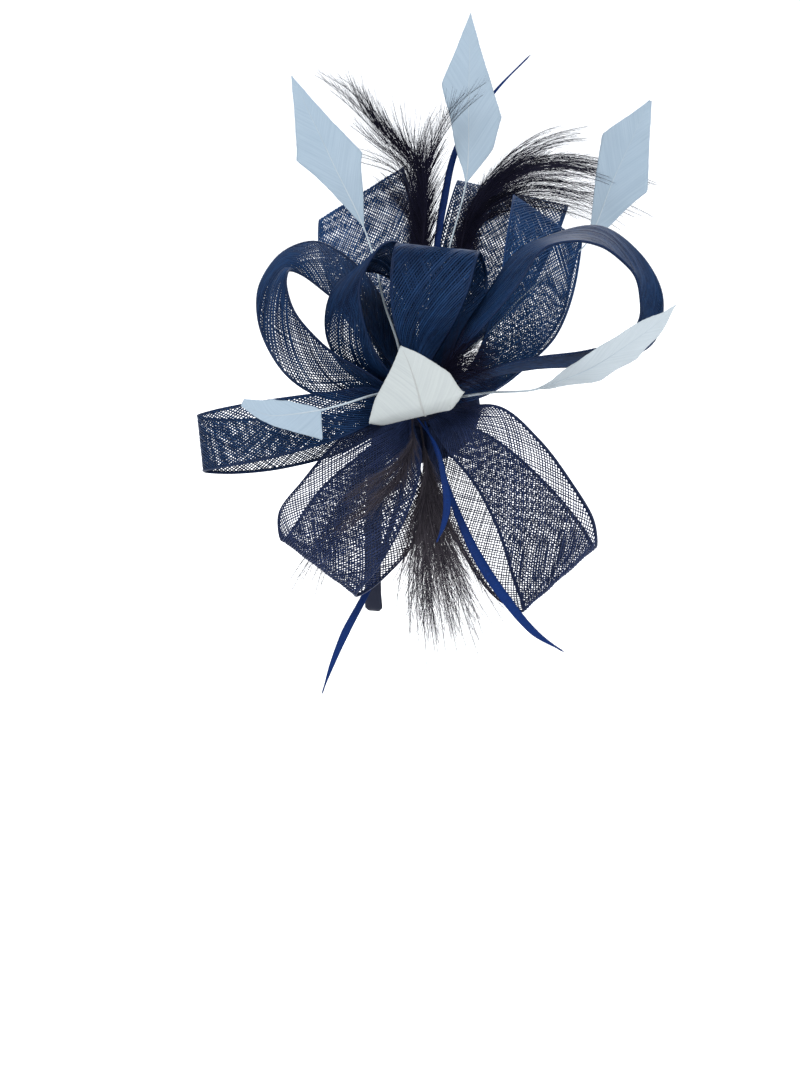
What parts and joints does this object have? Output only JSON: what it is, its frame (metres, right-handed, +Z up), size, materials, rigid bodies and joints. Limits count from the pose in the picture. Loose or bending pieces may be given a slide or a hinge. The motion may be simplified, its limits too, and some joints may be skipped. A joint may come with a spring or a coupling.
{
  "type": "bow fascinator",
  "caption": "Headpiece on a slim headband: a cluster of mesh ribbon loops, cut feathers, spikes and soft hackles bound at one knot on a round base pad.",
  "frame": {"origin": "underside of the headband at its top centre, where it rests on the head", "axes": "+Z up, +X to the wearer's front, -Y to the wearer's right, where the trimmings are"},
  "size_m": [0.1737, 0.2035, 0.2432],
  "materials": {
    "satin": "satin weave, near black navy",
    "felt": "matt felt",
    "binding": "wound thread",
    "crin": "glossy open mesh ribbon",
    "crin_lower": "sheer open mesh ribbon",
    "cut_feather": "thin translucent vane",
    "front_feather": "thin translucent vane, warm white",
    "spike": "glossy stripped feather",
    "hackle": "soft barbs with a brown sheen"
  },
  "bodies": {
    "root": {"headband": "satin", "base_pad": "felt", "knot": "binding", "crin_loop_centre": "crin", "crin_loop_left_inner": "crin", "crin_loop_left_outer": "crin", "crin_loop_left_flat": "crin", "crin_loop_right_curl": "crin", "crin_loop_lower_left": "crin_lower", "crin_loop_lower_right": "crin_lower", "crin_loop_upper_right": "crin", "crin_loop_upper_left": "crin", "crin_loop_upper_middle": "crin", "cut_feather_upper_left": "cut_feather", "cut_feather_upper_middle": "cut_feather", "cut_feather_upper_right": "cut_feather", "cut_feather_right": "cut_feather", "cut_feather_left": "cut_feather", "cut_feather_front": "front_feather", "blue_spike_lower_left": "spike", "blue_spike_lower_right": "spike", "blue_spike_lower_small": "spike", "blue_spike_upper": "spike", "hackle_upper_left": "hackle", "hackle_upper_middle": "hackle", "hackle_right": "hackle", "hackle_lower_front": "hackle", "hackle_lower_back": "hackle", "hackle_lower_middle": "hackle", "hackle_centre_tuft": "hackle"}
  },
  "joints": []
}
